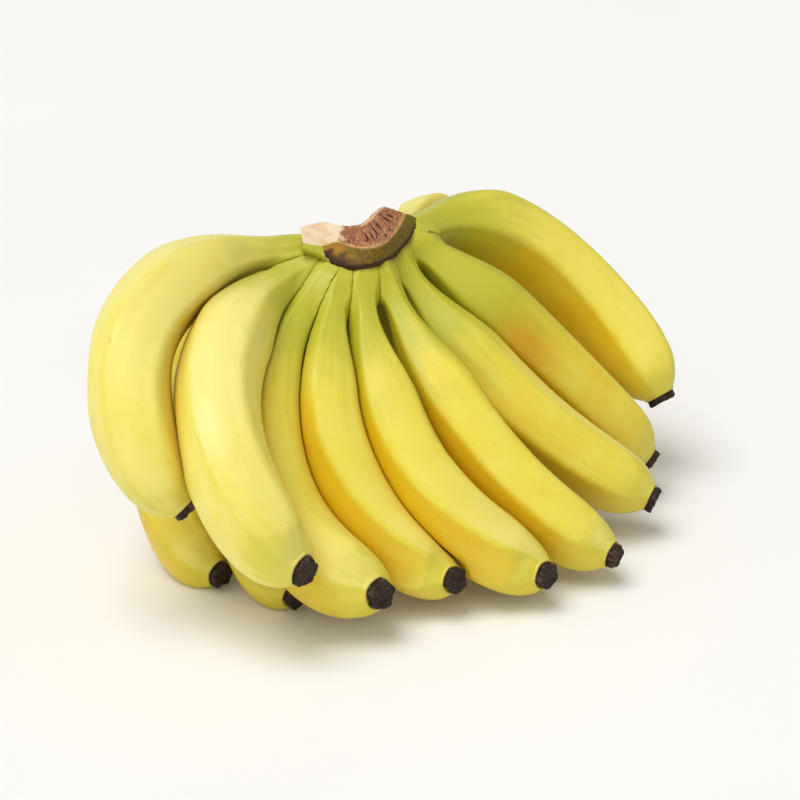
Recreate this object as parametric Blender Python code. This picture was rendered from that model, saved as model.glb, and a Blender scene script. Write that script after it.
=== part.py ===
"""A whole hand of ripe bananas, standing on the plate side of its lowest fingers with the cut crown on top.

Every finger is lofted along a curved line that starts inside the crown. Its skin has five soft ridges, and it
flattens where a neighbour or the table presses on it. Lengths are metres, angles degrees.
"""

import math

import bmesh
import bpy
import numpy as np

# Driving dimensions of the hand. The tables below are in cm in a frame of their own, which SHIFT and LIFT (m)
# bring over the middle of the box. Widths are shares of a finger's girth, bends shares of its length.
CM = 0.01
LIFT = 0.0018
SHIFT_X = 0.0047
SHIFT_Y = -0.0167
NECK_WIDTH = 0.38
NECK_FLARE = 0.05
NECK_BURIED = 0.5
TIP_WIDTH = 0.34
TIP_BEND = 0.83
RIDGES = 5
RIDGE_HEIGHT = 0.032
SIDES = 15
STATIONS = 19
FINE = 72
PRESS_GAP = 0.0008
PRESS_SOFTNESS = 12
CROWN_GAP = 0.0005
FLESH_END = 0.96

# Flower end: its length, its corners and, along it, how wide it is, in shares of its length and width
END_GAP = 0.0003
END_LENGTH = 0.0065
END_CORNERS = 0.07
END_SHAPE = [(0.0, 1.0), (0.35, 1.02), (0.85, 0.97), (1.0, 0.86), (1.0, 0.62), (0.84, 0.50)]

# Fingers: 01 to 10 are the upper row, from the left of the hand round to its back, 11 to 15 the lower row.
# root is where the neck leaves the crown (cm). leave, belly and reach are headings and pitches: the curve sets
# out along the first, turns through the second and ends along the third, with its blunt end bent towards tip.
# length (cm) runs along the curve, girth (cm) is the radius of the belly. turn is how far the ridges are turned
# about the curve at its start and at its end.
FINGERS = [
    dict(name="01", root=(-5.6, 2.9, 14.3), leave=(202, 10), belly=(254, -16),
         reach=(11, -54), tip=(348, -42), length=20.2, girth=1.90, turn=(10, 25)),
    dict(name="02", root=(-4.9, 2.5, 13.5), leave=(219, -7), belly=(276, -13),
         reach=(4, -54), tip=(322, -4), length=20.7, girth=1.94, turn=(-28, 16)),
    dict(name="03", root=(-4.0, 1.8, 13.4), leave=(226, -28), belly=(268, -59),
         reach=(342, -5), tip=(306, 9), length=19.7, girth=1.94, turn=(-15, 40)),
    dict(name="04", root=(-3.4, 1.7, 13.4), leave=(248, -34), belly=(286, -59),
         reach=(1, -20), tip=(309, 10), length=18.2, girth=1.71, turn=(-4, 66)),
    dict(name="05", root=(-2.5, 1.6, 13.2), leave=(271, -46), belly=(303, -49),
         reach=(7, -20), tip=(313, 6), length=18.5, girth=1.77, turn=(14, 59)),
    dict(name="06", root=(-1.5, 2.3, 13.2), leave=(304, -47), belly=(316, -47),
         reach=(8, -28), tip=(322, -6), length=18.5, girth=1.69, turn=(-14, 35)),
    dict(name="07", root=(-0.9, 4.0, 13.5), leave=(324, -48), belly=(341, -44),
         reach=(16, -28), tip=(334, -18), length=18.4, girth=1.78, turn=(8, 23)),
    dict(name="08", root=(-0.3, 5.6, 14.0), leave=(348, -33), belly=(4, -53),
         reach=(16, -45), tip=(347, -35), length=18.0, girth=1.82, turn=(10, 25)),
    dict(name="09", root=(0.3, 6.5, 14.1), leave=(65, 6), belly=(340, -41),
         reach=(313, -42), tip=(323, -54), length=19.5, girth=1.98, turn=(68, 40)),
    dict(name="10", root=(-0.4, 7.1, 13.7), leave=(84, 9), belly=(34, -55),
         reach=(325, -64), tip=(328, -66), length=15.6, girth=1.84, turn=(10, 30)),
    dict(name="11", root=(-4.9, 3.9, 13.2), leave=(188, -11), belly=(225, -70),
         reach=(317, -21), tip=(318, -3), length=20.5, girth=1.73, turn=(10, 30)),
    dict(name="12", root=(-4.0, 3.5, 12.7), leave=(205, -56), belly=(232, -56),
         reach=(306, -4), tip=(310, -4), length=18.6, girth=1.67, turn=(0, 40)),
    dict(name="13", root=(-2.5, 3.7, 13.0), leave=(278, -78), belly=(295, -70),
         reach=(321, -14), tip=(321, -14), length=15.1, girth=1.66, turn=(10, 30)),
    dict(name="14", root=(-1.4, 4.8, 12.8), leave=(331, -72), belly=(356, -60),
         reach=(24, -8), tip=(24, -4), length=17.7, girth=1.70, turn=(10, 30)),
    dict(name="15", root=(-1.3, 6.0, 12.7), leave=(39, -62), belly=(33, -70),
         reach=(30, -8), tip=(30, -4), length=17.5, girth=1.71, turn=(10, 30)),
]

# Crown, from its left end round the front to its right end (cm): the inner and outer edge of the cut face,
# the lower rim of the skin, the lowest line of the underside and its back edge.
CROWN = [
    dict(inner=(-5.5, 2.9, 15.5), outer=(-5.3, 1.6, 15.1), rim=(-5.4, 1.5, 14.8),
         under=(-5.2, 3.2, 13.8), back=(-5.3, 3.9, 14.6)),
    dict(inner=(-4.4, 3.5, 15.6), outer=(-4.4, 1.8, 14.9), rim=(-4.5, 1.5, 14.5),
         under=(-4.4, 3.0, 13.2), back=(-4.3, 4.5, 14.3)),
    dict(inner=(-3.7, 3.3, 15.5), outer=(-3.7, 2.1, 15.0), rim=(-3.8, 1.3, 14.1),
         under=(-3.6, 2.9, 12.7), back=(-3.5, 4.7, 13.9)),
    dict(inner=(-3.1, 3.5, 15.4), outer=(-2.9, 1.9, 14.8), rim=(-2.9, 1.1, 14.0),
         under=(-2.8, 2.8, 12.6), back=(-2.9, 4.9, 13.7)),
    dict(inner=(-2.6, 3.8, 15.4), outer=(-2.0, 1.8, 14.8), rim=(-2.0, 1.4, 14.0),
         under=(-2.0, 3.2, 12.6), back=(-2.5, 5.2, 13.7)),
    dict(inner=(-2.3, 4.3, 15.5), outer=(-1.3, 2.4, 14.9), rim=(-1.1, 2.4, 14.1),
         under=(-1.3, 4.1, 12.8), back=(-2.2, 5.7, 13.8)),
    dict(inner=(-2.0, 4.9, 15.6), outer=(-0.7, 4.1, 15.1), rim=(-0.2, 4.3, 14.4),
         under=(-0.7, 5.3, 13.1), back=(-2.0, 6.4, 14.0)),
    dict(inner=(-1.6, 5.7, 15.7), outer=(-0.4, 5.6, 15.3), rim=(0.3, 6.1, 14.8),
         under=(-0.4, 6.9, 13.4), back=(-1.6, 7.2, 14.3)),
]
CROWN_LINES = ("inner", "outer", "rim", "under", "back")
CROWN_STEPS = 2


def clear_scene():
    for thing in list(bpy.data.objects):
        bpy.data.objects.remove(thing, do_unlink=True)


def material(name, colour, roughness):
    made = bpy.data.materials.new(name)
    made.use_nodes = True
    shader = made.node_tree.nodes["Principled BSDF"]
    shader.inputs["Base Color"].default_value = (*colour, 1.0)
    shader.inputs["Roughness"].default_value = roughness
    shader.inputs["Metallic"].default_value = 0.0
    made.diffuse_color = (*colour, 1.0)
    return made


def add_object(name, mesh_in_progress, skin):
    """The finished bmesh as an object of its own, with its faces outward."""
    bmesh.ops.recalc_face_normals(mesh_in_progress, faces=mesh_in_progress.faces)
    mesh = bpy.data.meshes.new(name)
    mesh_in_progress.to_mesh(mesh)
    mesh_in_progress.free()
    mesh.materials.append(skin)
    made = bpy.data.objects.new(name, mesh)
    bpy.context.scene.collection.objects.link(made)
    mesh.shade_smooth()
    mesh.set_sharp_from_angle(angle=math.radians(50))
    return made


def direction(heading, pitch):
    """Unit vector for a heading counterclockwise from +X and a pitch above the horizon."""
    turn, rise = math.radians(heading), math.radians(pitch)
    return np.array([math.cos(turn) * math.cos(rise), math.sin(turn) * math.cos(rise), math.sin(rise)])


def in_frame(place):
    """A place given in cm as metres in the frame of the hand, whose origin is under its middle."""
    return np.array(place) * CM + np.array([SHIFT_X, SHIFT_Y, LIFT])


def smooth(value, low, high):
    share = np.clip((value - low) / (high - low), 0.0, 1.0)
    return share * share * (3 - 2 * share)


def girth_along(share):
    """Radius over the finger's girth: a neck that flares into the crown, a full belly and a blunt end."""
    swell = NECK_WIDTH + (1 - NECK_WIDTH) * smooth(share, 0.08, 0.37)
    swell = swell + NECK_FLARE * (1 - smooth(share, 0.0, 0.13))
    late = np.clip((share - 0.60) / 0.39, 0.0, 1.0)
    close = np.sqrt(np.clip(1 - late**3.2, 0.0, 1.0))
    return np.maximum(swell * close, TIP_WIDTH)


class Centreline:
    """The bent middle line of a finger, with its frame and radius at FINE even steps."""

    def __init__(self, finger):
        first, middle, last = (direction(*finger[key]) for key in ("leave", "belly", "reach"))
        self.share = np.linspace(0.0, 1.0, FINE)
        share = self.share[:, None]
        ahead = (1 - share) ** 2 * first + 2 * share * (1 - share) * middle + share**2 * last
        end = smooth(share, TIP_BEND, 1.0)
        ahead = ahead / np.linalg.norm(ahead, axis=1)[:, None] * (1 - end) + direction(*finger["tip"]) * end
        self.ahead = ahead / np.linalg.norm(ahead, axis=1)[:, None]
        step = (finger["length"] + NECK_BURIED) * CM / (FINE - 1)
        halves = 0.5 * step * (self.ahead[1:] + self.ahead[:-1])
        start = in_frame(finger["root"]) - first * NECK_BURIED * CM
        self.points = np.vstack([start, start + np.cumsum(halves, axis=0)])
        self.radius = finger["girth"] * CM * girth_along(self.share)
        side = np.cross(first, last)
        side = side / np.linalg.norm(side) - self.ahead * (self.ahead @ side / np.linalg.norm(side))[:, None]
        self.side = side / np.linalg.norm(side, axis=1)[:, None]
        self.back = np.cross(self.side, self.ahead)
        self.turn = np.radians(np.interp(self.share, (0.0, 1.0), finger["turn"]))


def ridge(angles):
    """Five soft corners with nearly flat sides between them."""
    return 1 + RIDGE_HEIGHT * (np.cos(RIDGES * angles) + 0.25 * np.cos(2 * RIDGES * angles))


def press_limit(centre, out, radius, other):
    """How far a point may stand out from centre before it meets the other finger's half of the space."""
    offset = centre[None, :] - other.points
    squared = (offset**2).sum(axis=1)
    along = out @ offset.T
    ratio = (other.radius / radius)[None, :]
    a = 1 - ratio**2
    b = 2 * (along - ratio * PRESS_GAP)
    c = (squared - PRESS_GAP**2)[None, :]
    inside = b * b - 4 * a * c
    meets = (inside >= 0) & ((a < 0) | (b < 0))
    root = np.sqrt(np.maximum(inside, 0.0))
    return np.where(meets, 2 * c / np.maximum(root - b, 1e-9), 1.0).min(axis=1)


def pressed_ring(line, index, ahead, reach, angles, others):
    """The points of one section, at index and then ahead of it, pressed flat where the neighbours are."""
    angles = angles + line.turn[index]
    centre = line.points[index] + line.ahead[index] * ahead
    out = np.outer(np.cos(angles), line.side[index]) + np.outer(np.sin(angles), line.back[index])
    limit = np.min([press_limit(centre, out, line.radius[index], other) for other in others], axis=0)
    reach = reach * (1 + (reach / limit) ** PRESS_SOFTNESS) ** (-1 / PRESS_SOFTNESS)
    return centre + out * reach[:, None]


def loft(rings):
    """A closed bmesh through the rings, extruded one from the next."""
    shape = bmesh.new()
    bmesh.ops.create_circle(shape, cap_ends=True, segments=len(rings[0]), radius=1.0)
    shape.verts.ensure_lookup_table()
    face = shape.faces[:][0]
    for vertex, place in zip(list(face.verts), rings[0]):
        vertex.co = place
    loop = list(face.verts)
    for ring in rings[1:]:
        edges = [shape.edges.get((loop[i], loop[(i + 1) % len(loop)])) for i in range(len(loop))]
        made = bmesh.ops.extrude_edge_only(shape, edges=edges)["geom"]
        fresh = {item for item in made if isinstance(item, bmesh.types.BMVert)}
        loop = [next(e.other_vert(v) for e in v.link_edges if e.other_vert(v) in fresh) for v in loop]
        for vertex, place in zip(loop, ring):
            vertex.co = place
    shape.faces.new(loop)
    return shape


def cut_at_table(shape):
    """The flat spot where the fruit's own weight has pressed it on the table."""
    if min(vertex.co.z for vertex in shape.verts) >= 0:
        return
    everything = shape.verts[:] + shape.edges[:] + shape.faces[:]
    bmesh.ops.bisect_plane(shape, geom=everything, plane_co=(0, 0, 0), plane_no=(0, 0, 1), clear_inner=True)
    open_edges = [edge for edge in shape.edges if edge.is_boundary]
    bmesh.ops.holes_fill(shape, edges=open_edges, sides=0)


def along_crown(step, key):
    """A point on one of the crown's lines, curved smoothly through its stations."""
    first = min(int(step), len(CROWN) - 2)
    share = step - first
    near = [np.array(CROWN[min(max(first + i, 0), len(CROWN) - 1)][key]) for i in (-1, 0, 1, 2)]
    slope_in, slope_out = (near[2] - near[0]) / 2, (near[3] - near[1]) / 2
    curve = 2 * near[1] - 2 * near[2] + slope_in + slope_out
    bend = 3 * (near[2] - near[1]) - 2 * slope_in - slope_out
    return in_frame(near[1] + slope_in * share + bend * share**2 + curve * share**3)


def build_crown(name, skin, grow=0.0):
    """The cut piece of stalk that carries every finger: a crescent, widest in its middle."""
    steps = np.arange((len(CROWN) - 1) * CROWN_STEPS + 1) / CROWN_STEPS
    shape = loft([np.array([along_crown(step, key) for key in CROWN_LINES]) for step in steps])
    bmesh.ops.recalc_face_normals(shape, faces=shape.faces)
    shape.normal_update()
    for vertex, factor in [(vertex, vertex.calc_shell_factor()) for vertex in shape.verts]:
        vertex.co += vertex.normal * grow * factor
    return add_object(name, shape, skin)


def build_finger(finger, line, others, skin, crown_cutter):
    angles = np.arange(SIDES) * 2 * math.pi / SIDES
    picks = np.round(np.linspace(0, FLESH_END * (FINE - 1), STATIONS)).astype(int)
    rings = [pressed_ring(line, i, 0.0, line.radius[i] * ridge(angles), angles, others) for i in picks]
    shape = loft(rings)
    cut_at_table(shape)
    made = add_object("finger_" + finger["name"], shape, skin)
    cut = made.modifiers.new("crown seat", "BOOLEAN")
    cut.object = crown_cutter
    cut.operation = "DIFFERENCE"
    cut.solver = "EXACT"
    return made


def build_flower_end(finger, line, others, skin):
    """The dry black stub left by the flower: five-cornered, a little flared and hollow at its end."""
    index = int(round(FLESH_END * (FINE - 1)))
    angles = np.arange(2 * RIDGES) * math.pi / RIDGES
    corners = finger["girth"] * CM * TIP_WIDTH * (1 + END_CORNERS * np.cos(RIDGES * angles))
    rings = []
    for along, wide in END_SHAPE:
        ahead = END_GAP + END_LENGTH * along
        rings.append(pressed_ring(line, index, ahead, corners * wide, angles, others))
    return add_object("flower_end_" + finger["name"], loft(rings), skin)


clear_scene()
yellow = material("banana_skin", (0.80, 0.62, 0.045), 0.42)
black = material("dry_flower_end", (0.035, 0.026, 0.02), 0.85)
brown = material("crown_skin", (0.32, 0.24, 0.10), 0.75)

crown = build_crown("crown", brown)
cutter = build_crown("crown_cutter", brown, CROWN_GAP)
cutter.hide_render = True
cutter.display_type = "WIRE"

lines = [Centreline(finger) for finger in FINGERS]
for finger, line in zip(FINGERS, lines):
    others = [other for other in lines if other is not line]
    build_finger(finger, line, others, yellow, cutter)
    build_flower_end(finger, line, others, black)
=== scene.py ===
import math

import bmesh
import bpy
import numpy as np
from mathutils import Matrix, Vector, noise


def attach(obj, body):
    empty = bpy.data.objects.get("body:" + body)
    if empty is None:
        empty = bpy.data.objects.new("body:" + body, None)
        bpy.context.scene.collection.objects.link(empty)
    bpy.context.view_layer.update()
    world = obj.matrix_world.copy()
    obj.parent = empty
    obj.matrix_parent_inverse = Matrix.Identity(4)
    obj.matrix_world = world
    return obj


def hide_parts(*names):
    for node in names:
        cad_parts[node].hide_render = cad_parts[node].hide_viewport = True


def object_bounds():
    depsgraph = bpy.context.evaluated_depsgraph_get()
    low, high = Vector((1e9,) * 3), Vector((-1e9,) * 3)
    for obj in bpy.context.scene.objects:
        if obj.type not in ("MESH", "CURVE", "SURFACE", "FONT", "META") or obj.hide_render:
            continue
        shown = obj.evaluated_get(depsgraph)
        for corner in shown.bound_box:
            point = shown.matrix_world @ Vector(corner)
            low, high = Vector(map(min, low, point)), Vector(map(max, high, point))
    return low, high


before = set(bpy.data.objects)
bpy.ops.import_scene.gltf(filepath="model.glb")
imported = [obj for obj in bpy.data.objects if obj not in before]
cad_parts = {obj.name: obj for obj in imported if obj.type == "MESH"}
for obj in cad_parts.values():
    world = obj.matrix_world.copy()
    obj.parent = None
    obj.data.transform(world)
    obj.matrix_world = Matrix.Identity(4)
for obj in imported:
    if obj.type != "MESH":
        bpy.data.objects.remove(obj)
cad_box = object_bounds()

# The hand is seen from the front and a little above, as photographed. Its tables of places are in cm, in a
# frame whose origin is moved here to the middle of the hand's box, on the surface that it stands on.
CM = 0.01
MIDDLE = np.array([0.0047, -0.0167, 0.0018])
VIEW_PITCH = math.radians(23)
VIEW_DISTANCE = 1.0
VIEW_TARGET = Vector((-0.0069, 0.0222, 0.0674))
VIEW_LENS = 90.9

view_ahead = Vector((0, math.cos(VIEW_PITCH), -math.sin(VIEW_PITCH)))
camera = bpy.data.objects.new("camera", bpy.data.cameras.new("camera"))
bpy.context.scene.collection.objects.link(camera)
camera.data.lens = VIEW_LENS
camera.data.clip_start = 0.01
camera.location = Vector(MIDDLE) + VIEW_TARGET - view_ahead * VIEW_DISTANCE
camera.rotation_euler = (-view_ahead).to_track_quat("Z", "Y").to_euler()
bpy.context.scene.camera = camera

# The crown is the piece of stalk that the hand was cut off with: a crescent with a bare cut face, cream at
# its left end, then pinkish brown with rows of dark vessels, in a tough olive skin dried dark at its lower
# rim. It is a closed outline extruded along the crescent's own lines, and its cut is left rough.
CROWN = [
    dict(inner=(-5.5, 2.9, 15.5), outer=(-5.3, 1.6, 15.1), rim=(-5.4, 1.5, 14.8),
         under=(-5.2, 3.2, 13.8), back=(-5.3, 3.9, 14.6)),
    dict(inner=(-4.4, 3.5, 15.6), outer=(-4.4, 1.8, 14.9), rim=(-4.5, 1.5, 14.5),
         under=(-4.4, 3.0, 13.2), back=(-4.3, 4.5, 14.3)),
    dict(inner=(-3.7, 3.3, 15.5), outer=(-3.7, 2.1, 15.0), rim=(-3.8, 1.3, 14.1),
         under=(-3.6, 2.9, 12.7), back=(-3.5, 4.7, 13.9)),
    dict(inner=(-3.1, 3.5, 15.4), outer=(-2.9, 1.9, 14.8), rim=(-2.9, 1.1, 14.0),
         under=(-2.8, 2.8, 12.6), back=(-2.9, 4.9, 13.7)),
    dict(inner=(-2.6, 3.8, 15.4), outer=(-2.0, 1.8, 14.8), rim=(-2.0, 1.4, 14.0),
         under=(-2.0, 3.2, 12.6), back=(-2.5, 5.2, 13.7)),
    dict(inner=(-2.3, 4.3, 15.5), outer=(-1.3, 2.4, 14.9), rim=(-1.1, 2.4, 14.1),
         under=(-1.3, 4.1, 12.8), back=(-2.2, 5.7, 13.8)),
    dict(inner=(-2.0, 4.9, 15.6), outer=(-0.7, 4.1, 15.1), rim=(-0.2, 4.3, 14.4),
         under=(-0.7, 5.3, 13.1), back=(-2.0, 6.4, 14.0)),
    dict(inner=(-1.6, 5.7, 15.7), outer=(-0.4, 5.6, 15.3), rim=(0.3, 6.1, 14.8),
         under=(-0.4, 6.9, 13.4), back=(-1.6, 7.2, 14.3)),
]
# The sides of the outline in turn, and how many points each has
CROWN_SIDES = [
    ("inner", "outer", 46),
    ("outer", "rim", 16),
    ("rim", "under", 12),
    ("under", "back", 10),
    ("back", "inner", 12),
]
CROWN_STEPS = 210
# Rows of vessels on the cut: how far across, the first and last station, how many, and how long they are
VESSEL_ROWS = [
    (0.24, 4.7, 6.7, 4, 0.05),
    (0.46, 3.8, 6.4, 6, 0.15),
    (0.70, 2.7, 6.2, 8, 0.06),
]
# Which way the cut faces, and its relief in metres: pits at the vessels, a raised strand, two roughnesses
CUT_FACING = np.array([0.15, -0.25, 0.95])
PIT_DEPTH = 0.0007
STRAND_HEIGHT = 0.0005
CUT_COARSE = 0.00035
CUT_FINE = 0.00022
# The skin's relief in metres: how far its band bulges, and two roughnesses
SKIN_BULGE = 0.0008
SKIN_COARSE = 0.00035
SKIN_FINE = 0.0001
# How many lumps of each roughness, and of the vessels' ragged outlines, there are in a metre
COARSE_LUMPS = 150
FINE_LUMPS = 700
RAGGED_LUMPS = 260


def along_crown(step, key):
    """A point on one of the crown's lines, curved smoothly through its stations."""
    first = min(int(step), len(CROWN) - 2)
    share = step - first
    near = [np.array(CROWN[min(max(first + i, 0), len(CROWN) - 1)][key]) for i in (-1, 0, 1, 2)]
    slope_in, slope_out = (near[2] - near[0]) / 2, (near[3] - near[1]) / 2
    curve = 2 * near[1] - 2 * near[2] + slope_in + slope_out
    bend = 3 * (near[2] - near[1]) - 2 * slope_in - slope_out
    return (near[1] + slope_in * share + bend * share**2 + curve * share**3) * CM + MIDDLE


def vessels():
    """Where the cut vessels show on the face: station, place across, half width and half length."""
    draw = np.random.default_rng(4)
    found = []
    for across, first, last, count, long in VESSEL_ROWS:
        for station in np.linspace(first, last, count):
            place = station + draw.uniform(-0.2, 0.2), across + draw.uniform(-0.10, 0.10)
            found.append((*place, draw.uniform(0.03, 0.05) + 0.2 * long, long * draw.uniform(0.6, 1.3)))
    return found


def crown_rings():
    """The crown's outlines from end to end, and the marks that its face and skin are coloured by."""
    rings, cut, across, band, station, vessel, grain = [], [], [], [], [], [], []
    holes = np.array(vessels())
    total = len(CROWN) - 1
    for step in np.linspace(0, total, CROWN_STEPS):
        ring, is_cut, over, down = [], [], [], []
        for start, end, count in CROWN_SIDES:
            near, far = along_crown(step, start), along_crown(step, end)
            for share in np.arange(count) / count:
                ring.append(near + (far - near) * share)
                is_cut.append(1.0 if start == "inner" else 0.0)
                over.append(share if start == "inner" else 1.0 if start == "outer" else 0.0)
                down.append({"inner": 0.0, "outer": share, "rim": 1.0 + share}.get(start, 2.0))
        ring = np.array(ring)
        for _ in range(4):
            ring = 0.5 * ring + 0.25 * (np.roll(ring, 1, axis=0) + np.roll(ring, -1, axis=0))
        middle = ring.mean(axis=0)
        over, is_cut = np.array(over), np.array(is_cut)
        wobble = [noise.noise(Vector(point) * RAGGED_LUMPS) for point in ring]
        reach = ((over[:, None] - holes[:, 1] + 0.04 * np.array(wobble)[:, None]) / holes[:, 3]) ** 2
        reach = reach + ((step - holes[:, 0] + 0.05 * np.array(wobble)[::-1, None]) / holes[:, 2]) ** 2
        dark = np.exp(-reach).max(axis=1) * is_cut
        rings.append(ring + relief(ring, middle, is_cut, dark, step, over, down))
        cut.append(is_cut)
        across.append(over)
        band.append(down)
        station.append(np.full(len(ring), step / total))
        vessel.append(dark)
        grain.append([(step * 13, share * 18, 0.0) for share in over + down])
    return rings, dict(cut=cut, across=across, band=band, station=station, vessel=vessel, grain=grain)


def relief(ring, middle, is_cut, dark, step, over, down):
    """How far each point is moved: a rough fibrous cut, pits at the vessels and an uneven skin."""
    moved = []
    for point, cut, pit, across, low in zip(ring, is_cut, dark, over, down):
        coarse = noise.noise(Vector(point) * COARSE_LUMPS)
        fine = noise.noise(Vector(point) * FINE_LUMPS)
        if cut:
            strand = STRAND_HEIGHT * math.exp(-(((across - 0.10) / 0.035) ** 2)) * (4.0 < step < 6.7)
            rough = 0.3 if step < 1.9 else 1.0 + 1.6 * math.exp(-((across / 0.06) ** 2))
            height = rough * (CUT_COARSE * coarse + CUT_FINE * fine) - PIT_DEPTH * pit + strand
            moved.append(CUT_FACING * height)
        else:
            out = (point - middle) / np.linalg.norm(point - middle)
            bulge = SKIN_BULGE * math.sin(math.pi * low) if low < 1.0 else 0.0
            moved.append(out * (bulge + SKIN_COARSE * coarse + SKIN_FINE * fine))
    return np.array(moved)


def loft(rings):
    """A closed bmesh through rings of points, extruded one from the next, and each ring's vertex numbers."""
    shape = bmesh.new()
    bmesh.ops.create_circle(shape, cap_ends=True, segments=len(rings[0]), radius=1.0)
    shape.faces.ensure_lookup_table()
    loops = [list(shape.faces[0].verts)]
    for ring in rings[1:]:
        loop = loops[-1]
        edges = [shape.edges.get((loop[i], loop[(i + 1) % len(loop)])) for i in range(len(loop))]
        made = bmesh.ops.extrude_edge_only(shape, edges=edges)["geom"]
        fresh = {item for item in made if isinstance(item, bmesh.types.BMVert)}
        loops.append([next(e.other_vert(v) for e in v.link_edges if e.other_vert(v) in fresh) for v in loop])
    shape.faces.new(loops[-1])
    for loop, ring in zip(loops, rings):
        for vertex, place in zip(loop, ring):
            vertex.co = place
    bmesh.ops.recalc_face_normals(shape, faces=shape.faces)
    shape.verts.index_update()
    return shape, [[vertex.index for vertex in loop] for loop in loops]


def mark(shape, loops, **marks):
    """Gives the vertices of each ring their values, which the materials read by name."""
    for name, rows in marks.items():
        vector = np.ndim(rows[0]) == 2
        layers = shape.verts.layers.float_vector if vector else shape.verts.layers.float
        layer = layers.new(name)
        shape.verts.ensure_lookup_table()
        for loop, row in zip(loops, rows):
            for index, value in zip(loop, row):
                shape.verts[index][layer] = Vector(value) if vector else float(value)


def finish_piece(name, shape, node, sharp=50):
    """The finished bmesh as a piece that rides on the hand and stands for its plain node."""
    mesh = bpy.data.meshes.new(name)
    shape.to_mesh(mesh)
    shape.free()
    piece = bpy.data.objects.new(name, mesh)
    bpy.context.scene.collection.objects.link(piece)
    mesh.shade_smooth()
    mesh.set_sharp_from_angle(angle=math.radians(sharp))
    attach(piece, "root")
    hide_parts(node)
    return piece


def paint(red, green, blue):
    """A colour given in the usual 0 to 255 as the linear light that Blender's shaders take."""
    return tuple(((value / 255 + 0.055) / 1.055) ** 2.4 for value in (red, green, blue)) + (1.0,)


def put(tree, kind, sockets=None, **settings):
    """A shader node with its settings, and its sockets joined to others or set to plain values."""
    made = tree.nodes.new(kind)
    for name, value in settings.items():
        setattr(made, name, value)
    for socket, value in (sockets or {}).items():
        if isinstance(value, bpy.types.NodeSocket):
            tree.links.new(value, made.inputs[socket])
        else:
            made.inputs[socket].default_value = value
    return made


def read(tree, name, output="Fac"):
    """One of the marks that the mesh carries."""
    return put(tree, "ShaderNodeAttribute", attribute_name=name).outputs[output]


def maths(tree, operation, first, second=0.0):
    return put(tree, "ShaderNodeMath", {0: first, 1: second}, operation=operation).outputs[0]


def rise(tree, value, low, high, bottom=0.0, top=1.0):
    """A soft step from bottom to top as the value goes from low to high."""
    sockets = {"Value": value, "From Min": low, "From Max": high, "To Min": bottom, "To Max": top}
    return put(tree, "ShaderNodeMapRange", sockets, interpolation_type="SMOOTHSTEP").outputs["Result"]


def stirred(tree, value, mask, amount):
    """The value, moved up or down by up to half the amount as the mask is over or under its middle."""
    return maths(tree, "ADD", value, maths(tree, "MULTIPLY", maths(tree, "SUBTRACT", mask, 0.5), amount))


def blend(tree, share, first, second):
    """The first colour, with a share of the second."""
    return put(tree, "ShaderNodeMix", {0: share, 6: first, 7: second}, data_type="RGBA").outputs[2]


def new_group(name, inputs, output):
    """An empty shader group with number sockets, its first one a vector."""
    group = bpy.data.node_groups.new(name, "ShaderNodeTree")
    for position, socket in enumerate(inputs):
        kind = "NodeSocketVector" if position == 0 else "NodeSocketFloat"
        group.interface.new_socket(name=socket, in_out="INPUT", socket_type=kind)
    group.interface.new_socket(name=output, in_out="OUTPUT", socket_type="NodeSocketFloat")
    entry = group.nodes.new("NodeGroupInput")
    leave = group.nodes.new("NodeGroupOutput")
    return group, entry.outputs, leave.inputs[output]


def build_mottle():
    """Soft patches: noise of a scale, cut between two levels."""
    group, entry, leave = new_group("mottle", ("Place", "Scale", "Low", "High"), "Mask")
    sockets = {"Vector": entry["Place"], "Scale": entry["Scale"], "Detail": 3.0}
    cloud = put(group, "ShaderNodeTexNoise", sockets)
    group.links.new(rise(group, cloud.outputs["Fac"], entry["Low"], entry["High"]), leave)
    return group


def build_freckles():
    """Small round spots in a share of the cells of a Voronoi pattern, each of its own strength."""
    group, entry, leave = new_group("freckles", ("Place", "Scale", "Size", "Share"), "Mask")
    cells = put(group, "ShaderNodeTexVoronoi", {"Vector": entry["Place"], "Scale": entry["Scale"]})
    inner = maths(group, "MULTIPLY", entry["Size"], 0.45)
    spot = rise(group, cells.outputs["Distance"], entry["Size"], inner)
    chance = put(group, "ShaderNodeSeparateColor", {0: cells.outputs["Color"]})
    chosen = maths(group, "LESS_THAN", chance.outputs[0], entry["Share"])
    strength = rise(group, chance.outputs[1], 0.0, 1.0, 0.3, 1.0)
    group.links.new(maths(group, "MULTIPLY", maths(group, "MULTIPLY", spot, chosen), strength), leave)
    return group


MOTTLE = build_mottle()
FRECKLES = build_freckles()


def mottle(tree, place, scale, low, high):
    sockets = {"Place": place, "Scale": scale, "Low": low, "High": high}
    return put(tree, "ShaderNodeGroup", sockets, node_tree=MOTTLE).outputs["Mask"]


def freckles(tree, place, scale, size, share):
    sockets = {"Place": place, "Scale": scale, "Size": size, "Share": share}
    return put(tree, "ShaderNodeGroup", sockets, node_tree=FRECKLES).outputs["Mask"]


def stretched(tree, place, across, along):
    """The peel's own coordinates, drawn out so that a pattern runs along the finger."""
    return put(tree, "ShaderNodeMapping", {"Vector": place, "Scale": (across, across, along)}).outputs[0]


def new_material(name):
    made = bpy.data.materials.new(name)
    made.use_nodes = True
    tree = made.node_tree
    return made, tree, tree.nodes["Principled BSDF"]


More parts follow.
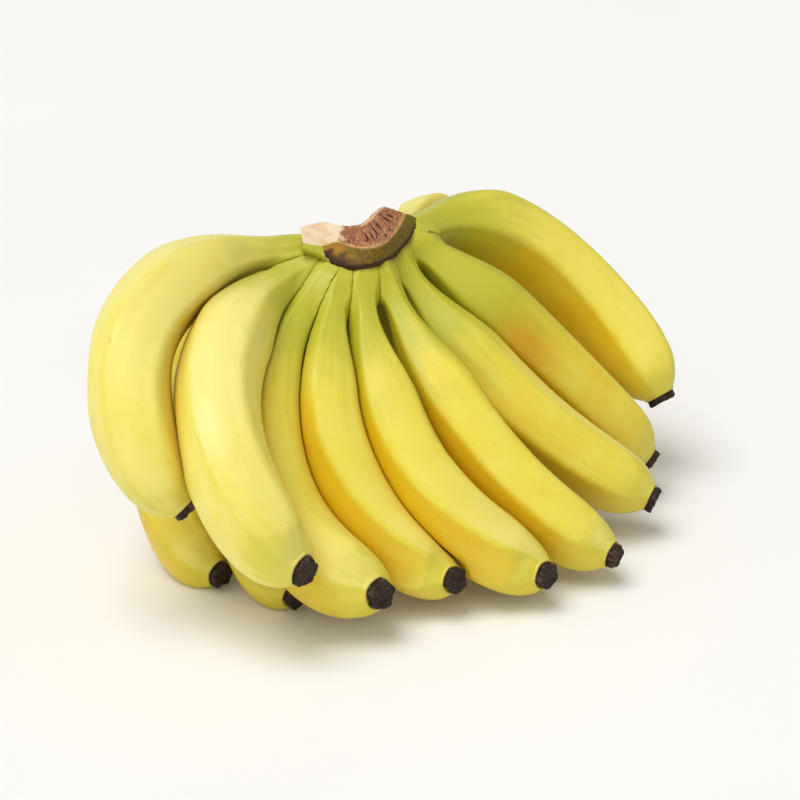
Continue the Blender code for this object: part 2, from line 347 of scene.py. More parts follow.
def crown_material():
    """The cut face, its vessels and its strand, and the skin from golden olive to dark brown."""
    made, tree, shader = new_material("cut crown")
    place = put(tree, "ShaderNodeTexCoord").outputs["Object"]
    cut, across, band = read(tree, "cut"), read(tree, "across"), read(tree, "band")
    station, vessel = read(tree, "station"), read(tree, "vessel")
    sockets = {"Vector": read(tree, "grain", "Vector"), "Scale": (1.0, 0.22, 1.0)}
    across_grain = put(tree, "ShaderNodeMapping", sockets).outputs[0]
    cloud = mottle(tree, place, 170.0, 0.35, 0.65)
    grain = mottle(tree, place, 620.0, 0.38, 0.66)
    fibres = mottle(tree, across_grain, 1.1, 0.42, 0.62)
    threads = mottle(tree, across_grain, 3.0, 0.40, 0.66)

    face = blend(tree, grain, paint(150, 92, 60), paint(208, 156, 118))
    face = blend(tree, maths(tree, "MULTIPLY", cloud, 0.70), face, paint(146, 82, 44))
    face = blend(tree, maths(tree, "MULTIPLY", threads, 0.40), face, paint(216, 170, 126))
    face = blend(tree, maths(tree, "MULTIPLY", fibres, 0.55), face, paint(120, 68, 40))
    dots = freckles(tree, place, 480.0, 0.30, 0.36)
    face = blend(tree, maths(tree, "MULTIPLY", dots, 0.75), face, paint(88, 46, 32))
    face = blend(tree, rise(tree, vessel, 0.12, 0.55, 0.0, 0.92), face, paint(66, 32, 26))
    wave = stirred(tree, station, cloud, 0.09)
    pale = blend(tree, cloud, paint(244, 226, 190), paint(232, 200, 160))
    pale = blend(tree, maths(tree, "MULTIPLY", threads, 0.35), pale, paint(216, 174, 138))
    face = blend(tree, rise(tree, wave, 0.35, 0.26), face, pale)
    border = stirred(tree, across, grain, 0.10)
    border = maths(tree, "MULTIPLY", rise(tree, border, 0.84, 0.97), rise(tree, cloud, 0.0, 1.0, 0.15, 0.80))
    face = blend(tree, border, face, paint(212, 174, 104))
    strand = maths(tree, "MULTIPLY", rise(tree, across, 0.05, 0.09), rise(tree, across, 0.16, 0.12))
    strand = maths(tree, "MULTIPLY", strand, rise(tree, wave, 0.56, 0.62))
    face = blend(tree, strand, face, paint(228, 192, 138))
    face = blend(tree, rise(tree, across, 0.04, 0.0, 0.0, 0.85), face, paint(92, 58, 42))

    low = stirred(tree, band, cloud, 0.30)
    skin = blend(tree, grain, paint(102, 82, 14), paint(124, 100, 24))
    skin = blend(tree, rise(tree, wave, 0.78, 0.95, 0.0, 0.6), skin, paint(112, 106, 26))
    warm = maths(tree, "MULTIPLY", rise(tree, wave, 0.46, 0.30), rise(tree, low, 0.60, 0.20))
    skin = blend(tree, maths(tree, "MULTIPLY", warm, 0.9), skin, paint(172, 122, 30))
    dark = maths(tree, "MULTIPLY", rise(tree, wave, 0.50, 0.30), rise(tree, low, 0.25, 0.60))
    skin = blend(tree, dark, skin, paint(72, 44, 36))
    flecks = freckles(tree, place, 900.0, 0.20, 0.10)
    skin = blend(tree, maths(tree, "MULTIPLY", flecks, dark), skin, paint(190, 170, 160))
    lip = rise(tree, band, 0.0, 0.10, 0.75, 0.0)
    skin = blend(tree, lip, skin, paint(150, 108, 60))
    lower = rise(tree, band, 0.66, 0.84, 0.0, 0.95)
    skin = blend(tree, lower, skin, paint(60, 34, 22))
    beneath = rise(tree, band, 1.10, 1.40)
    skin = blend(tree, beneath, skin, paint(150, 160, 58))
    slope = maths(tree, "SUBTRACT", wave, maths(tree, "MULTIPLY", band, 0.09))
    joined = rise(tree, slope, 0.13, 0.10)
    skin = blend(tree, joined, skin, paint(186, 188, 60))
    inside = rise(tree, band, 1.9, 2.0)
    skin = blend(tree, inside, skin, blend(tree, cloud, paint(120, 84, 52), paint(168, 136, 84)))
    tree.links.new(blend(tree, cut, skin, face), shader.inputs["Base Color"])

    tree.links.new(rise(tree, cut, 0.0, 1.0, 0.60, 0.85), shader.inputs["Roughness"])
    shader.inputs["Specular IOR Level"].default_value = 0.25
    rough = put(tree, "ShaderNodeTexNoise", {"Vector": place, "Scale": 1300.0, "Detail": 5.0})
    bump = put(tree, "ShaderNodeBump", {"Height": rough.outputs["Fac"], "Strength": 0.45, "Distance": 0.0005})
    tree.links.new(bump.outputs["Normal"], shader.inputs["Normal"])
    return made


rings, marks = crown_rings()
shape, loops = loft(rings)
mark(shape, loops, **marks)
stalk = finish_piece("cut_crown", shape, "crown", sharp=60)
stalk.data.materials.append(crown_material())

# The fingers are fifteen bananas that grew from one crown: waxy peel round soft flesh, with five soft
# ridges, a thin green neck and a blunt end, pressed flat where they grew against each other. Each is a ring
# of points extruded along the finger's bent middle line, and stands for the plain finger on the same line.
# leave, belly and reach are headings and pitches that the line turns through, and tip the bend of its end.
# turn is how far the ridges are turned at the start, halfway and at the end. gold runs from pale lemon to
# golden peel. neck is its width, and where it begins and ends to swell. green is how far its green reaches.
FINGERS = [
    dict(name="01", root=(-5.6, 2.9, 14.3), leave=(202, 10), belly=(254, -16),
         reach=(11, -54), tip=(348, -42), length=20.2, girth=1.90,
         turn=(10, 18, 25), gold=-0.25, neck=(0.40, 0.08, 0.37), green=0.30),
    dict(name="02", root=(-4.9, 2.5, 13.5), leave=(219, -7), belly=(276, -13),
         reach=(4, -54), tip=(322, -4), length=20.7, girth=1.94,
         turn=(-30, 0, 44), gold=-0.20, neck=(0.40, 0.07, 0.36), green=0.42),
    dict(name="03", root=(-4.0, 1.8, 13.4), leave=(226, -28), belly=(268, -59),
         reach=(342, -5), tip=(306, 9), length=19.7, girth=1.94,
         turn=(-15, 12, 40), gold=0.08, neck=(0.37, 0.08, 0.37), green=0.50),
    dict(name="04", root=(-3.4, 1.7, 13.4), leave=(248, -34), belly=(286, -59),
         reach=(1, -20), tip=(309, 10), length=18.2, girth=1.71,
         turn=(44, 37, 76), gold=0.12, neck=(0.36, 0.09, 0.38), green=0.46),
    dict(name="05", root=(-2.5, 1.6, 13.2), leave=(271, -46), belly=(303, -49),
         reach=(7, -20), tip=(313, 6), length=18.5, girth=1.77,
         turn=(38, 28, 78), gold=0.15, neck=(0.35, 0.09, 0.38), green=0.44),
    dict(name="06", root=(-1.5, 2.3, 13.2), leave=(304, -47), belly=(316, -47),
         reach=(8, -28), tip=(322, -6), length=18.5, girth=1.69,
         turn=(-2, 20, 32), gold=0.15, neck=(0.36, 0.09, 0.38), green=0.42),
    dict(name="07", root=(-0.9, 4.0, 13.5), leave=(324, -48), belly=(341, -44),
         reach=(16, -28), tip=(334, -18), length=18.4, girth=1.78,
         turn=(0, 0, 18), gold=0.15, neck=(0.37, 0.08, 0.37), green=0.50),
    dict(name="08", root=(-0.3, 5.6, 14.0), leave=(348, -33), belly=(4, -53),
         reach=(16, -45), tip=(347, -35), length=18.0, girth=1.90,
         turn=(10, 18, 25), gold=0.20, neck=(0.42, 0.05, 0.34), green=0.62),
    dict(name="09", root=(0.2, 6.4, 14.0), leave=(65, 6), belly=(340, -41),
         reach=(313, -42), tip=(323, -54), length=19.5, girth=2.02,
         turn=(68, 58, 36), gold=0.10, neck=(0.42, 0.06, 0.33), green=0.46),
    dict(name="10", root=(-0.4, 7.1, 13.7), leave=(84, 9), belly=(34, -55),
         reach=(325, -64), tip=(328, -66), length=15.6, girth=1.84,
         turn=(10, 20, 30), gold=-0.1, neck=(0.38, 0.08, 0.37), green=0.20),
    dict(name="11", root=(-4.9, 3.9, 13.2), leave=(188, -11), belly=(225, -70),
         reach=(317, -21), tip=(318, -3), length=20.5, girth=1.73,
         turn=(10, 20, 30), gold=0.30, neck=(0.50, 0.06, 0.34), green=0.40),
    dict(name="12", root=(-4.0, 3.5, 12.7), leave=(205, -56), belly=(232, -56),
         reach=(306, -4), tip=(310, -4), length=18.6, girth=1.67,
         turn=(0, 20, 40), gold=0.3, neck=(0.60, 0.05, 0.32), green=0.42),
    dict(name="13", root=(-2.5, 3.7, 13.0), leave=(278, -78), belly=(295, -70),
         reach=(321, -14), tip=(321, -14), length=15.1, girth=1.66,
         turn=(10, 20, 30), gold=0.3, neck=(0.62, 0.04, 0.32), green=0.44),
    dict(name="14", root=(-1.4, 4.8, 12.8), leave=(331, -72), belly=(356, -60),
         reach=(24, -8), tip=(24, -4), length=17.7, girth=1.70,
         turn=(10, 20, 30), gold=0.3, neck=(0.62, 0.04, 0.32), green=0.40),
    dict(name="15", root=(-1.3, 6.0, 12.7), leave=(39, -62), belly=(33, -70),
         reach=(30, -8), tip=(30, -4), length=17.5, girth=1.71,
         turn=(10, 20, 30), gold=0.3, neck=(0.60, 0.04, 0.32), green=0.44),
]
# How much wider a neck flares at the crown, how far along the flare ends, and how far it is sunk in (cm)
NECK_FLARE = 0.05
NECK_FLARE_END = 0.13
NECK_BURIED = 0.5
# How far back and how wide the rounded start of a neck is, inside the crown
NECK_START = [(0.0075, 0.15), (0.0072, 0.42), (0.0060, 0.70), (0.0042, 0.88), (0.0020, 0.97), (0.0, 1.0)]
# The blunt end: where it starts to close, over what share of the length, and how square its shoulder is
SHOULDER_START = 0.66
SHOULDER_SPAN = 0.312
SHOULDER_POWER = 4.4
TIP_WIDTH = 0.34
TIP_BEND = 0.83
FLESH_END = 0.96
LIP_HEIGHT = 0.0013
# The five ridges: their height, the waves that make their crests crisp, and how much they fade by the end
RIDGES = 5
RIDGE_HEIGHT = 0.050
CORNER_WAVES = (1.0, 0.34, 0.12)
RIDGE_FADE = 0.65
# How uneven the girth is, in shares of it
UNEVEN = 0.012
SIDES = 60
STEPS = 121
# The gap between fingers that press on each other, how sharply they flatten, and where painted crease shade
# shows
PRESS_GAP = 0.0002
PRESS_SOFTNESS = 36
PRESS_SHADE_SPAN = (0.60, 1.02)
# The webs between the necks: how many steps they reach along, how deep they fill, and where they thin out
WEB_STEPS = 44
WEB_DEPTH = 0.009
WEB_NEAR = 0.010
WEB_FAR = 0.042
WEB_PASSES = 8
# How far a neck stays in under the crown's band, and how finely that band is sampled
TUCK = 0.0008
TUCK_PASSES = 4
BAND_STEPS = 80
# How near the side of the hand's box the fruit starts to be eased in
BOX_ROOM = 0.004
# From where to where a facet counts as facing down and as facing up, and how strong its painted underside
# shade is
FACING_DOWN = (-0.50, -0.08)
FACING_UP = (0.50, 0.95)
UNDERSIDE_SHADE_BASE = 0.45
UNDERSIDE_SHADE_PER_GOLD = 4


def direction(heading, pitch):
    """Unit vector for a heading counterclockwise from +X and a pitch above the horizon."""
    turn, rise = math.radians(heading), math.radians(pitch)
    return np.array([math.cos(turn) * math.cos(rise), math.sin(turn) * math.cos(rise), math.sin(rise)])


def smooth(value, low, high):
    """A soft step from 0 to 1 as the value goes from low to high."""
    share = np.clip((value - low) / (high - low), 0.0, 1.0)
    return share * share * (3 - 2 * share)


def girth_along(share, neck):
    """Radius over the finger's girth: a neck that flares into the crown, a full belly and a blunt end."""
    width, thin, full = neck
    swell = width + (1 - width) * smooth(share, thin, full)
    swell = swell + NECK_FLARE * (1 - smooth(share, 0.0, NECK_FLARE_END))
    late = np.clip((share - SHOULDER_START) / SHOULDER_SPAN, 0.0, 1.0)
    close = np.sqrt(np.clip(1 - late**SHOULDER_POWER, 0.0, 1.0))
    return np.maximum(swell * close, TIP_WIDTH)


class MiddleLine:
    """The bent middle line of a finger, with its own axes, radius and ridge turn at STEPS even steps."""

    def __init__(self, finger):
        first, middle, last = (direction(*finger[key]) for key in ("leave", "belly", "reach"))
        self.share = np.linspace(0.0, 1.0, STEPS)
        share = self.share[:, None]
        ahead = (1 - share) ** 2 * first + 2 * share * (1 - share) * middle + share**2 * last
        end = smooth(share, TIP_BEND, 1.0)
        ahead = ahead / np.linalg.norm(ahead, axis=1)[:, None] * (1 - end) + direction(*finger["tip"]) * end
        self.ahead = ahead / np.linalg.norm(ahead, axis=1)[:, None]
        step = (finger["length"] + NECK_BURIED) * CM / (STEPS - 1)
        halves = 0.5 * step * (self.ahead[1:] + self.ahead[:-1])
        start = np.array(finger["root"]) * CM + MIDDLE - first * NECK_BURIED * CM
        self.points = np.vstack([start, start + np.cumsum(halves, axis=0)])
        self.radius = finger["girth"] * CM * girth_along(self.share, finger["neck"])
        side = np.cross(first, last)
        side = side / np.linalg.norm(side) - self.ahead * (self.ahead @ side / np.linalg.norm(side))[:, None]
        self.side = side / np.linalg.norm(side, axis=1)[:, None]
        self.back = np.cross(self.side, self.ahead)
        self.turn = np.radians(np.interp(self.share, (0.0, 0.5, 1.0), finger["turn"]))


def press_limit(centre, out, radius, other, gap):
    """How far a point may stand out from centre before it meets the other finger's half of the space."""
    offset = centre[None, :] - other.points
    squared = (offset**2).sum(axis=1)
    along = out @ offset.T
    ratio = (other.radius / radius)[None, :]
    a = 1 - ratio**2
    b = 2 * (along - ratio * gap)
    c = (squared - gap**2)[None, :]
    inside = b * b - 4 * a * c
    meets = (inside >= 0) & ((a < 0) | (b < 0))
    root = np.sqrt(np.maximum(inside, 0.0))
    return np.where(meets, 2 * c / np.maximum(root - b, 1e-9), 1.0).min(axis=1)


def webbed(centre, out, reach, others):
    """The reach of a neck's skin where it fills the grooves to its neighbours, close to the crown."""
    spheres = np.vstack([other.points[:WEB_STEPS] for other in others])
    sizes = np.concatenate([other.radius[:WEB_STEPS] for other in others])
    grown = reach.copy()
    for _ in range(WEB_PASSES):
        place = centre + out * grown[:, None]
        gap = np.linalg.norm(place[:, None] - roots[None], axis=2).min(axis=1)
        beside = np.linalg.norm(place[:, None] - rim_line[None], axis=2)
        below = rim_line[beside.argmin(axis=1), 2] - place[:, 2]
        fill = WEB_DEPTH * (1 - smooth(gap, WEB_NEAR, WEB_FAR)) * smooth(below, -0.001, 0.004) + 1e-5
        clear = np.linalg.norm(place[:, None] - spheres[None], axis=2) - sizes
        clear = clear.reshape(len(out), len(others), -1)
        near = np.sort(np.column_stack([grown - reach, clear.min(axis=2)]), axis=1)
        joined = near[:, 0]
        for rank in (1, 2, 3):
            share = np.maximum(fill - np.abs(joined - near[:, rank]), 0.0) / fill
            joined = np.minimum(joined, near[:, rank]) - share * share * fill / 4
        grown = np.clip(grown - joined, reach, reach + WEB_DEPTH)
    return grown


def crown_line(key):
    """Even points along one of the crown's lines."""
    return np.array([along_crown(step, key) for step in np.linspace(0, len(CROWN) - 1, BAND_STEPS)])


def crown_band():
    """Points all over the crown's skin, the way each faces, and whether it is clear of the ends."""
    steps = np.linspace(0, len(CROWN) - 1, BAND_STEPS)
    outer, rim, back = crown_line("outer"), crown_line("rim"), crown_line("back")
    points, facing, inner = [], [], []
    for share in np.linspace(0, 1, 7):
        line = outer + (rim - outer) * share
        normal = np.cross(np.gradient(line, axis=0), rim - outer)
        normal = normal / np.linalg.norm(normal, axis=1)[:, None]
        points.append(line)
        facing.append(normal * np.sign(((line - back) * normal).sum(axis=1))[:, None])
        inner.append((steps > 0.7) & (steps < 6.6) & (share < 0.99))
    return np.vstack(points), np.vstack(facing), np.concatenate(inner)


def tucked(centre, out, reach):
    """The reach of a neck's skin where it has to stay in under the crown's band."""
    for _ in range(TUCK_PASSES):
        place = centre + out * reach[:, None]
        apart = np.linalg.norm(place[:, None] - band_points[None], axis=2)
        nearest = apart.argmin(axis=1)
        proud = ((place - band_points[nearest]) * band_facing[nearest]).sum(axis=1) + TUCK
        push = np.maximum(proud, 0.0) / np.maximum((out * band_facing[nearest]).sum(axis=1), 0.4)
        reach = np.maximum(reach - np.where(band_inner[nearest], push, 0.0), 0.3 * reach)
    return reach


def inside_box(points):
    """The points, eased back where they would stand out of the box of the hand's plain solids."""
    low, high = np.array(cad_box[0]), np.array(cad_box[1])
    over = np.maximum(points - (high - BOX_ROOM), 0.0)
    short = np.maximum(low + BOX_ROOM - points, 0.0) * (1.0, 1.0, 0.0)
    eased = points - over + BOX_ROOM * np.tanh(over / BOX_ROOM)
    return eased + short - BOX_ROOM * np.tanh(short / BOX_ROOM)


def facet_marks(line, index, angles, warm):
    """From 1 where a facet faces down to -1 where it faces up, evened out only across the ridges."""
    centres = (np.arange(RIDGES) + 0.5) * 2 * math.pi / RIDGES + line.turn[index]
    facing = np.cos(centres) * line.side[index, 2] + np.sin(centres) * line.back[index, 2]
    # Painted shade on facets that face down, as strong as warm, and painted highlight on facets that face up
    under = smooth(-facing, *FACING_DOWN) * warm - smooth(facing, *FACING_UP)
    place = angles / (2 * math.pi) * RIDGES
    facet = place.astype(int) % RIDGES
    part = place % 1.0
    before = 0.5 - 0.5 * smooth(part, 0.0, 0.10)
    after = 0.5 * smooth(part, 0.90, 1.0)
    mixed = under[facet] * (1 - before - after)
    return mixed + under[facet - 1] * before + under[(facet + 1) % RIDGES] * after


def pressed_ring(line, index, ahead, reach, angles, others):
    """One section's points, pressed flat where the neighbours are, and how hard each is pressed."""
    angles = angles + line.turn[index]
    centre = line.points[index] + line.ahead[index] * ahead
    out = np.outer(np.cos(angles), line.side[index]) + np.outer(np.sin(angles), line.back[index])
    gap = PRESS_GAP * (smooth(line.share[index], 0.04, 0.22) * 1.2 - 0.2)
    limit = np.min([press_limit(centre, out, line.radius[index], other, gap) for other in others], axis=0)
    # How near each point comes to a neighbour, which sets the painted shade in the crease between them
    pressed = smooth(reach / limit, *PRESS_SHADE_SPAN)
    if index < WEB_STEPS:
        reach = webbed(centre, out, reach, others)
    reach = reach * (1 + (reach / limit) ** PRESS_SOFTNESS) ** (-1 / PRESS_SOFTNESS)
    if index < WEB_STEPS:
        reach = tucked(centre, out, reach)
    points = inside_box(centre + out * reach[:, None])
    points[:, 2] = np.maximum(points[:, 2], 0.0)
    return points, pressed


def grow_finger(finger, line, others):
    """The rings of one finger, and the marks that its peel is coloured by."""
    seed = int(finger["name"])
    angles = np.arange(SIDES) * 2 * math.pi / SIDES
    corners = sum(size * np.cos((rank + 1) * RIDGES * angles) for rank, size in enumerate(CORNER_WAVES))
    last = int(round(FLESH_END * (STEPS - 1)))
    # How strong the painted golden shade on this finger's undersides is
    warm = min(1.0, max(0.0, UNDERSIDE_SHADE_BASE + finger["gold"] * UNDERSIDE_SHADE_PER_GOLD))
    rings, peel, along, ridge, press, under = [], [], [], [], [], []

    def add_ring(index, ahead, wide, ridged):
        around = [Vector((math.cos(a) * 1.3 + seed * 5, math.sin(a) * 1.3, index * 0.045)) for a in angles]
        waves = np.array([noise.noise(spot) for spot in around])
        ridged = ridged * (1 - RIDGE_FADE * smooth(line.share[index], 0.80, 0.95))
        reach = line.radius[index] * wide * (1 + RIDGE_HEIGHT * ridged * corners + UNEVEN * waves)
        points, pressed = pressed_ring(line, index, ahead, reach, angles, others)
        rings.append(points)
        share = line.share[index] + ahead / (finger["length"] * CM)
        length = share * finger["length"] / finger["girth"]
        peel.append([(math.cos(a) + seed * 11.0, math.sin(a), length) for a in angles])
        along.append(np.full(SIDES, share))
        ridge.append(np.clip(corners / sum(CORNER_WAVES), 0.0, 1.0) ** 3 * (1 - 0.6 * pressed))
        press.append(pressed)
        under.append(facet_marks(line, index, angles, warm))

    for sunk, wide in NECK_START:
        add_ring(0, -sunk, wide, 1.0)
    for index in range(1, last):
        add_ring(index, 0.0, 1.0, 1.0)
    shoulder = line.radius[last] / (finger["girth"] * CM)
    lip = 1.12 * TIP_WIDTH / shoulder
    for turn in np.radians([0, 22, 45, 68, 90]):
        add_ring(last, LIP_HEIGHT * math.sin(turn), 1 - (1 - lip) * (1 - math.cos(turn)), 1.0)
    add_ring(last, 0.45 * LIP_HEIGHT, 1.03 * TIP_WIDTH / shoulder, 1.4)
    add_ring(last, 0.0, 0.9 * TIP_WIDTH / shoulder, 1.4)
    return rings, peel, along, ridge, press, under


def peel_material():
    """Ripe peel: green at the neck, lemon to gold on the belly, a little green again at the end."""
    made, tree, shader = new_material("ripe banana peel")
    peel = read(tree, "peel", "Vector")
    along, ridge, press = read(tree, "along"), read(tree, "ridge"), read(tree, "pressed")
    gold, green = read(tree, "gold"), read(tree, "green")
    streak = mottle(tree, stretched(tree, peel, 2.2, 0.25), 2.0, 0.30, 0.70)
    cloud = mottle(tree, peel, 0.9, 0.30, 0.70)
    fine = mottle(tree, stretched(tree, peel, 9.0, 0.8), 3.0, 0.35, 0.75)

    ripe = stirred(tree, gold, cloud, 0.24)
    pale = blend(tree, rise(tree, ripe, -0.45, 0.20), paint(244, 232, 126), paint(238, 220, 72))
    colour = blend(tree, rise(tree, ripe, 0.0, 1.0), pale, paint(232, 190, 20))
    colour = blend(tree, maths(tree, "MULTIPLY", streak, 0.25), colour, paint(244, 234, 112))
    under = read(tree, "under")
    # Painted highlight: facets that face up are paled towards a whitish lemon
    colour = blend(tree, rise(tree, under, 0.0, -1.0, 0.0, 0.42), colour, paint(248, 238, 160))
    # Painted shade with warm bounce light: facets that face down turn deeper gold, less so towards the end
    low = stirred(tree, under, cloud, 0.20)
    painted_underside_shade = maths(tree, "MULTIPLY", rise(tree, low, 0.10, 0.95), rise(tree, along, 0.70, 0.96, 0.86, 0.45))
    colour = blend(tree, painted_underside_shade, colour, paint(226, 186, 8))
    # Painted shade in the creases where fingers press together: dark olive at the neck, deep gold further
    # along
    crease_shade_colour = blend(tree, rise(tree, along, 0.20, 0.45), paint(112, 102, 10), paint(216, 168, 6))
    colour = blend(tree, maths(tree, "MULTIPLY", press, 0.48), colour, crease_shade_colour)

    reach = stirred(tree, stirred(tree, along, cloud, 0.10), streak, 0.05)
    unripe = rise(tree, maths(tree, "SUBTRACT", reach, green), 0.0, -0.32)
    colour = blend(tree, maths(tree, "MULTIPLY", unripe, 0.80), colour, paint(178, 182, 44))
    end = maths(tree, "MULTIPLY", rise(tree, reach, 0.82, 0.96), 0.55)
    colour = blend(tree, end, colour, paint(206, 200, 60))

    edge = maths(tree, "MULTIPLY", ridge, maths(tree, "ADD", maths(tree, "MULTIPLY", fine, 0.30), 0.16))
    colour = blend(tree, edge, colour, paint(204, 194, 36))
    colour = blend(tree, maths(tree, "MULTIPLY", read(tree, "blush"), 0.80), colour, paint(210, 152, 6))
    scar = maths(tree, "MULTIPLY", mottle(tree, stretched(tree, peel, 5.0, 1.1), 2.6, 0.70, 0.78), 0.45)
    colour = blend(tree, scar, colour, paint(190, 150, 60))
    specks = freckles(tree, stretched(tree, peel, 1.0, 0.7), 7.0, 0.10, 0.22)
    colour = blend(tree, maths(tree, "MULTIPLY", specks, 0.5), colour, paint(140, 100, 40))
    rim = rise(tree, along, 0.958, 0.966)
    colour = blend(tree, maths(tree, "MULTIPLY", rim, 0.5), colour, paint(186, 158, 84))
    tree.links.new(colour, shader.inputs["Base Color"])

    rough = rise(tree, maths(tree, "ADD", cloud, scar), 0.0, 1.4, 0.38, 0.52)
    tree.links.new(rough, shader.inputs["Roughness"])
    sockets = {"Vector": stretched(tree, peel, 10.0, 2.5), "Scale": 6.0, "Detail": 4.0}
    pores = put(tree, "ShaderNodeTexNoise", sockets)
    height = maths(tree, "ADD", maths(tree, "MULTIPLY", pores.outputs["Fac"], 0.5), fine)
    bump = put(tree, "ShaderNodeBump", {"Height": height, "Strength": 0.10, "Distance": 0.0006})
    tree.links.new(bump.outputs["Normal"], shader.inputs["Normal"])
    shader.inputs["Subsurface Weight"].default_value = 0.12
    shader.inputs["Subsurface Radius"].default_value = (1.0, 0.55, 0.08)
    shader.inputs["Subsurface Scale"].default_value = 0.004
    shader.inputs["Coat Weight"].default_value = 0.16
    shader.inputs["Specular IOR Level"].default_value = 0.32
    shader.inputs["Coat Roughness"].default_value = 0.38
    return made


# A warm, riper patch on the back of finger 08: how far along it is, its angle, its length and its width
BLUSH = {"08": (0.43, math.radians(250), 0.09, 0.60)}


def blush_marks(name, line, along):
    """How strongly the warm patch colours each point of a finger."""
    if name not in BLUSH:
        return [np.zeros(SIDES) for row in along]
    middle, angle, long, wide = BLUSH[name]
    angles = np.arange(SIDES) * 2 * math.pi / SIDES + line.turn[STEPS // 2]
    apart = np.abs(np.angle(np.exp(1j * (angles - angle))))
    return [np.exp(-((row - middle) / long) ** 2 - (apart / wide) ** 2) for row in along]


peel_skin = peel_material()
lines = {finger["name"]: MiddleLine(finger) for finger in FINGERS}
roots = np.array([line.points[0] for line in lines.values()])
band_points, band_facing, band_inner = crown_band()
rim_line = crown_line("rim")
others_of = {name: [line for key, line in lines.items() if key != name] for name in lines}
for finger in FINGERS:
    name = finger["name"]
    rings, peel, along, ridge, press, under = grow_finger(finger, lines[name], others_of[name])
    shape, loops = loft(rings)
    gold = [np.full(SIDES, finger["gold"]) for row in along]
    green = [np.full(SIDES, finger["green"]) for row in along]
    mark(shape, loops, peel=peel, along=along, ridge=ridge, pressed=press, under=under)
    mark(shape, loops, gold=gold, green=green, blush=blush_marks(name, lines[name], along))
    banana = finish_piece("banana_" + name, shape, "finger_" + name)
    banana.data.materials.append(peel_skin)

# The dried flower ends are the dead black-brown stubs that the blossoms left: hard wrinkled tissue, roughly
# five-cornered, sunk in the end of the fruit, with a torn rim round a shallow hollow. Each is a ring extruded
# forward, turned in over its rim and back, and roughened with noise of its own.
END_GAP = 0.0003
END_LENGTH = 0.0046
END_SIDES = 60
# How far out and how wide each ring is, in shares of the stub's length and width
END_PROFILE = [
    (0.0, 0.93), (0.06, 0.985), (0.18, 1.0), (0.34, 0.99), (0.5, 1.0), (0.66, 1.015),
    (0.8, 1.02), (0.9, 1.0), (0.97, 0.955), (1.0, 0.89), (0.985, 0.81), (0.94, 0.73),
    (0.90, 0.64), (0.88, 0.54), (0.885, 0.43), (0.90, 0.32), (0.91, 0.20), (0.92, 0.09),
]
# How high above the table a drooping stub stays
END_CLEAR = 0.0004


def stub_rings(finger, line, others):
    """The rings of one stub, and the marks that it is coloured by."""
    seed = int(finger["name"])
    draw = np.random.default_rng(seed)
    index = int(round(FLESH_END * (STEPS - 1)))
    angles = np.arange(END_SIDES) * 2 * math.pi / END_SIDES
    oval, oval_turn = draw.uniform(0.02, 0.06), draw.uniform(0, 2 * math.pi)
    skew, skew_turn = draw.uniform(0.0, 0.05), draw.uniform(0, 2 * math.pi)
    corners = 0.09 * np.cos(RIDGES * angles) + 0.02 * np.cos(2 * RIDGES * angles)
    corners = corners + oval * np.cos(2 * angles + oval_turn) + skew * np.cos(3 * angles + skew_turn)
    rings, torn, place = [], [], []
    for along, wide in END_PROFILE:
        rough, lift, crumb = [], [], []
        for a in angles:
            spot = Vector((math.cos(a) * wide * 2.6, math.sin(a) * wide * 2.6, along * 1.6 + seed * 9.0))
            folds = noise.noise(Vector((math.cos(a) * 4.5, math.sin(a) * 4.5, along * 0.8 + seed * 5.0)))
            lumps = noise.noise(spot * 2.2)
            rough.append(0.05 * folds * min(1.0, along * 3) + 0.03 * lumps)
            lift.append(0.10 * noise.noise(spot * 1.1) * min(1.0, along * 2) + 0.07 * lumps * min(1.0, along))
            crumb.append(folds + lumps)
        reach = finger["girth"] * CM * TIP_WIDTH * wide * (1 + corners + np.array(rough))
        points, _ = pressed_ring(line, index, END_GAP + END_LENGTH * along, reach, angles, others)
        points = points + np.outer(np.array(lift) * END_LENGTH, line.ahead[index])
        points[:, 2] = np.maximum(points[:, 2], END_CLEAR)
        rings.append(points)
        torn.append(np.clip(0.5 + np.array(crumb), 0.0, 1.0))
        place.append(np.full(END_SIDES, along if wide > 0.87 or along < 0.5 else 1.0 + (0.9 - wide)))
    return rings, torn, place


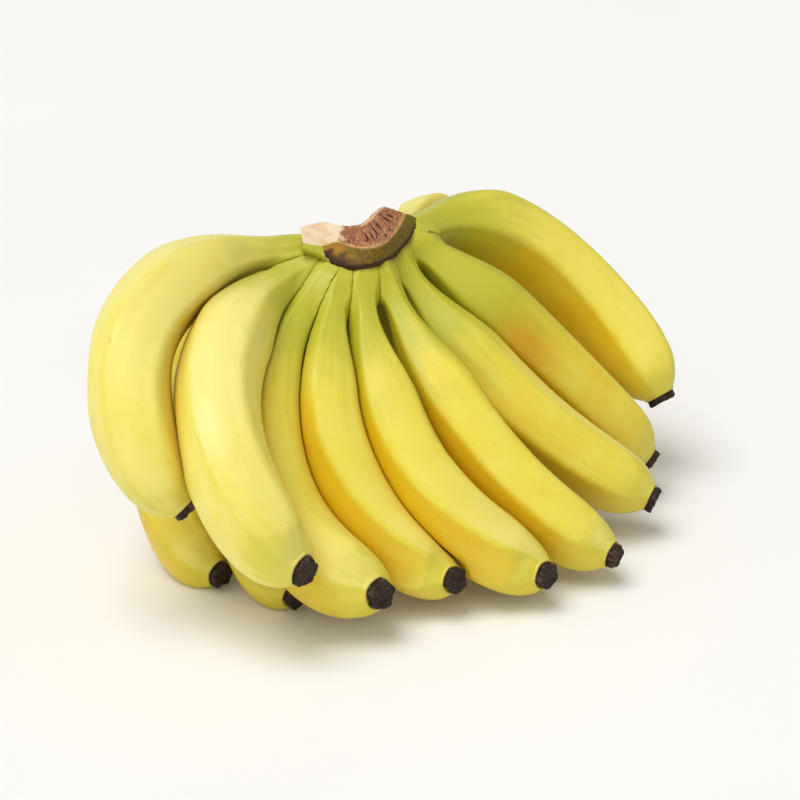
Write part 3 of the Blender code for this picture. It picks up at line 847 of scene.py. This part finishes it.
def stub_material():
    """Dead plant tissue: nearly black, brown where it is torn, pale where it joins the fruit."""
    made, tree, shader = new_material("dried flower end")
    place = put(tree, "ShaderNodeTexCoord").outputs["Object"]
    torn, out = read(tree, "torn"), read(tree, "out")
    grain = mottle(tree, place, 900.0, 0.35, 0.70)
    patch = mottle(tree, place, 260.0, 0.40, 0.65)
    colour = blend(tree, grain, paint(30, 21, 17), paint(58, 42, 34))
    colour = blend(tree, maths(tree, "MULTIPLY", patch, 0.5), colour, paint(42, 29, 26))
    crests = maths(tree, "MULTIPLY", rise(tree, torn, 0.62, 0.95), 0.40)
    colour = blend(tree, crests, colour, paint(108, 82, 62))
    flakes = freckles(tree, place, 700.0, 0.24, 0.22)
    colour = blend(tree, maths(tree, "MULTIPLY", flakes, 0.55), colour, paint(156, 124, 96))
    colour = blend(tree, rise(tree, out, 0.10, 0.0, 0.0, 0.5), colour, paint(120, 88, 52))
    tree.links.new(colour, shader.inputs["Base Color"])
    tree.links.new(rise(tree, grain, 0.0, 1.0, 0.62, 0.85), shader.inputs["Roughness"])
    shader.inputs["Specular IOR Level"].default_value = 0.3
    crumbs = put(tree, "ShaderNodeTexNoise", {"Vector": place, "Scale": 1400.0, "Detail": 5.0})
    bump = put(tree, "ShaderNodeBump", {"Height": crumbs.outputs["Fac"], "Strength": 0.7, "Distance": 0.0005})
    tree.links.new(bump.outputs["Normal"], shader.inputs["Normal"])
    return made


stub_skin = stub_material()
for finger in FINGERS:
    name = finger["name"]
    rings, torn, out = stub_rings(finger, lines[name], others_of[name])
    shape, loops = loft(rings)
    mark(shape, loops, torn=torn, out=out)
    stub = finish_piece("dried_end_" + name, shape, "flower_end_" + name, sharp=80)
    stub.data.materials.append(stub_skin)

# A plain pale studio: one wide floor, a broad soft light from above on the left, a weaker one from the
# front, and a bright even surround, so that the shadows stay soft.
bpy.ops.mesh.primitive_plane_add(size=60, location=(0, 0, 0))
floor = bpy.context.object
floor.name = "studio_floor"
paper, tree, shader = new_material("pale paper")
speck = mottle(tree, put(tree, "ShaderNodeTexCoord").outputs["Object"], 3.0, 0.3, 0.7)
tree.links.new(blend(tree, speck, paint(246, 245, 243), paint(249, 248, 246)), shader.inputs["Base Color"])
shader.inputs["Roughness"].default_value = 0.7
floor.data.materials.append(paper)

# Each light: its name, where it comes from, how wide it spreads in degrees, its strength and colour
LIGHTS = [
    ("key", (-0.30, -0.20, 1.0), 40, 1.9, (1.0, 0.99, 0.97)),
    ("front", (-0.3, -1.0, 0.60), 60, 0.50, (1.0, 1.0, 1.0)),
]
for name, place, spread, power, colour in LIGHTS:
    lamp = bpy.data.lights.new(name, "SUN")
    lamp.angle = math.radians(spread)
    lamp.energy = power
    lamp.color = colour
    light = bpy.data.objects.new(name, lamp)
    bpy.context.scene.collection.objects.link(light)
    light.location = place
    light.rotation_euler = Vector(place).to_track_quat("Z", "Y").to_euler()

surround = bpy.data.worlds.new("studio")
surround.use_nodes = True
surround.node_tree.nodes["Background"].inputs["Color"].default_value = (1.0, 1.0, 1.0, 1.0)
surround.node_tree.nodes["Background"].inputs["Strength"].default_value = 0.40
bpy.context.scene.world = surround
bpy.context.scene.view_settings.view_transform = "Standard"
